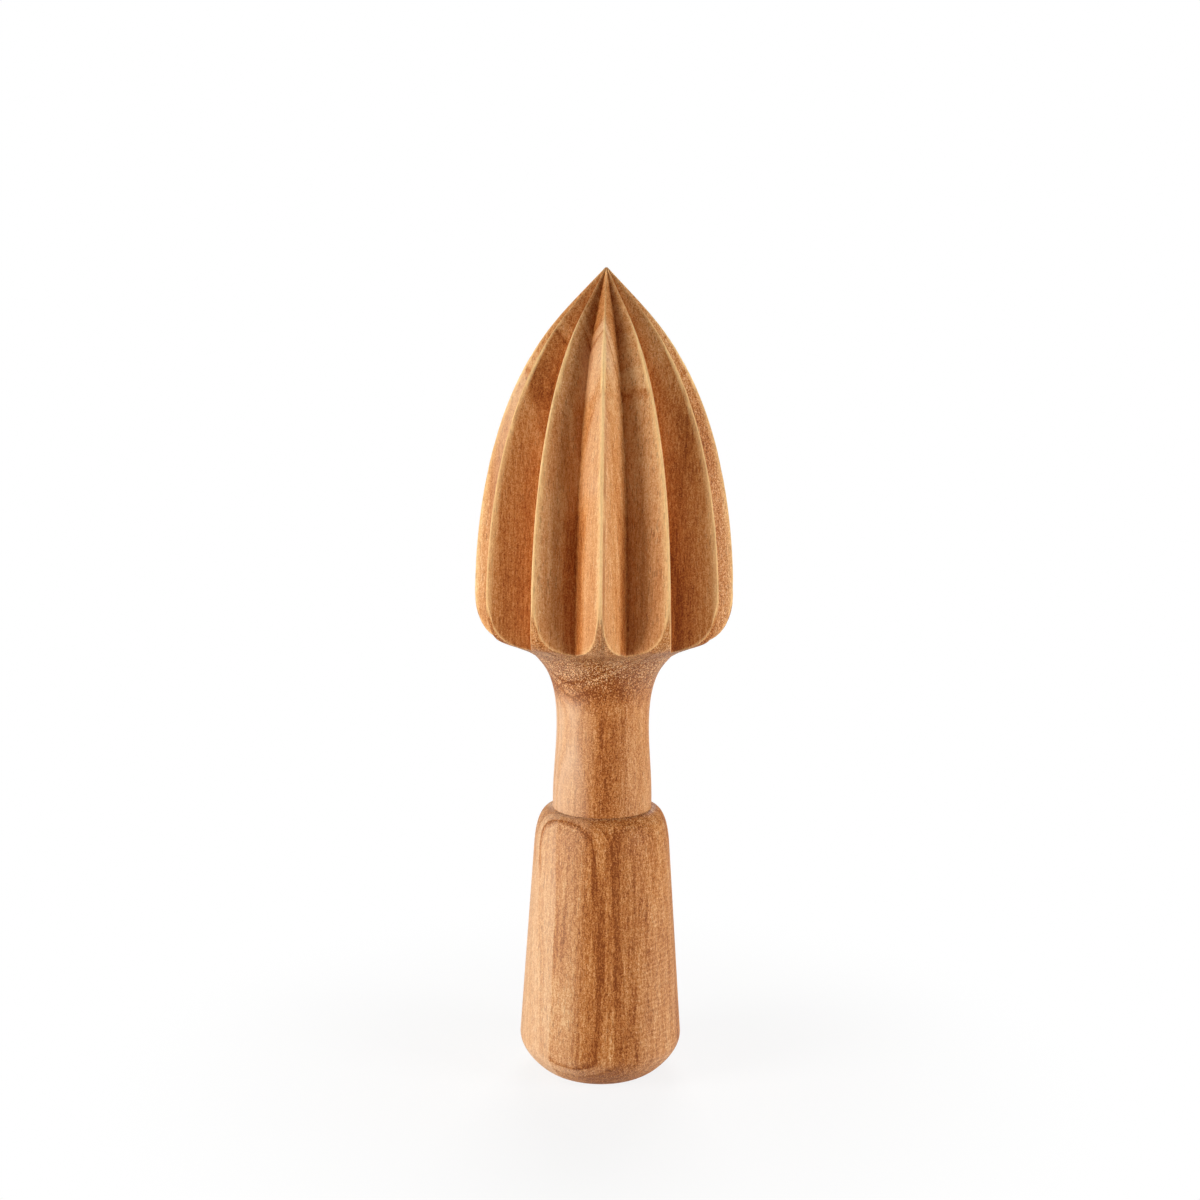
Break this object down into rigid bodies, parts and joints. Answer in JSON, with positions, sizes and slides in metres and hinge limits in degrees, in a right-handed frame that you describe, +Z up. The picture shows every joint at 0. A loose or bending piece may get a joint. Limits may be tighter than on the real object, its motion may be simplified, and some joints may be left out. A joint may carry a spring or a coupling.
{
  "type": "citrus reamer",
  "caption": "Turned wooden hand citrus reamer: a pointed head with sharp vertical flutes on a slim flared neck, seated in a tapered round handle that stands on its flat end.",
  "frame": {"origin": "centre of the flat end of the handle, on the surface that the reamer stands on", "axes": "+Z up along the turning axis to the tip; -Y is the pictured front, where one ridge of the head lies"},
  "size_m": [0.0526, 0.0526, 0.1658],
  "materials": {
    "wood_head": "oiled, satin, straight grain along the axis",
    "wood_handle": "oiled, satin, straight grain along the axis"
  },
  "bodies": {
    "root": {"fluted_head": "wood_head", "handle": "wood_handle"}
  },
  "joints": []
}
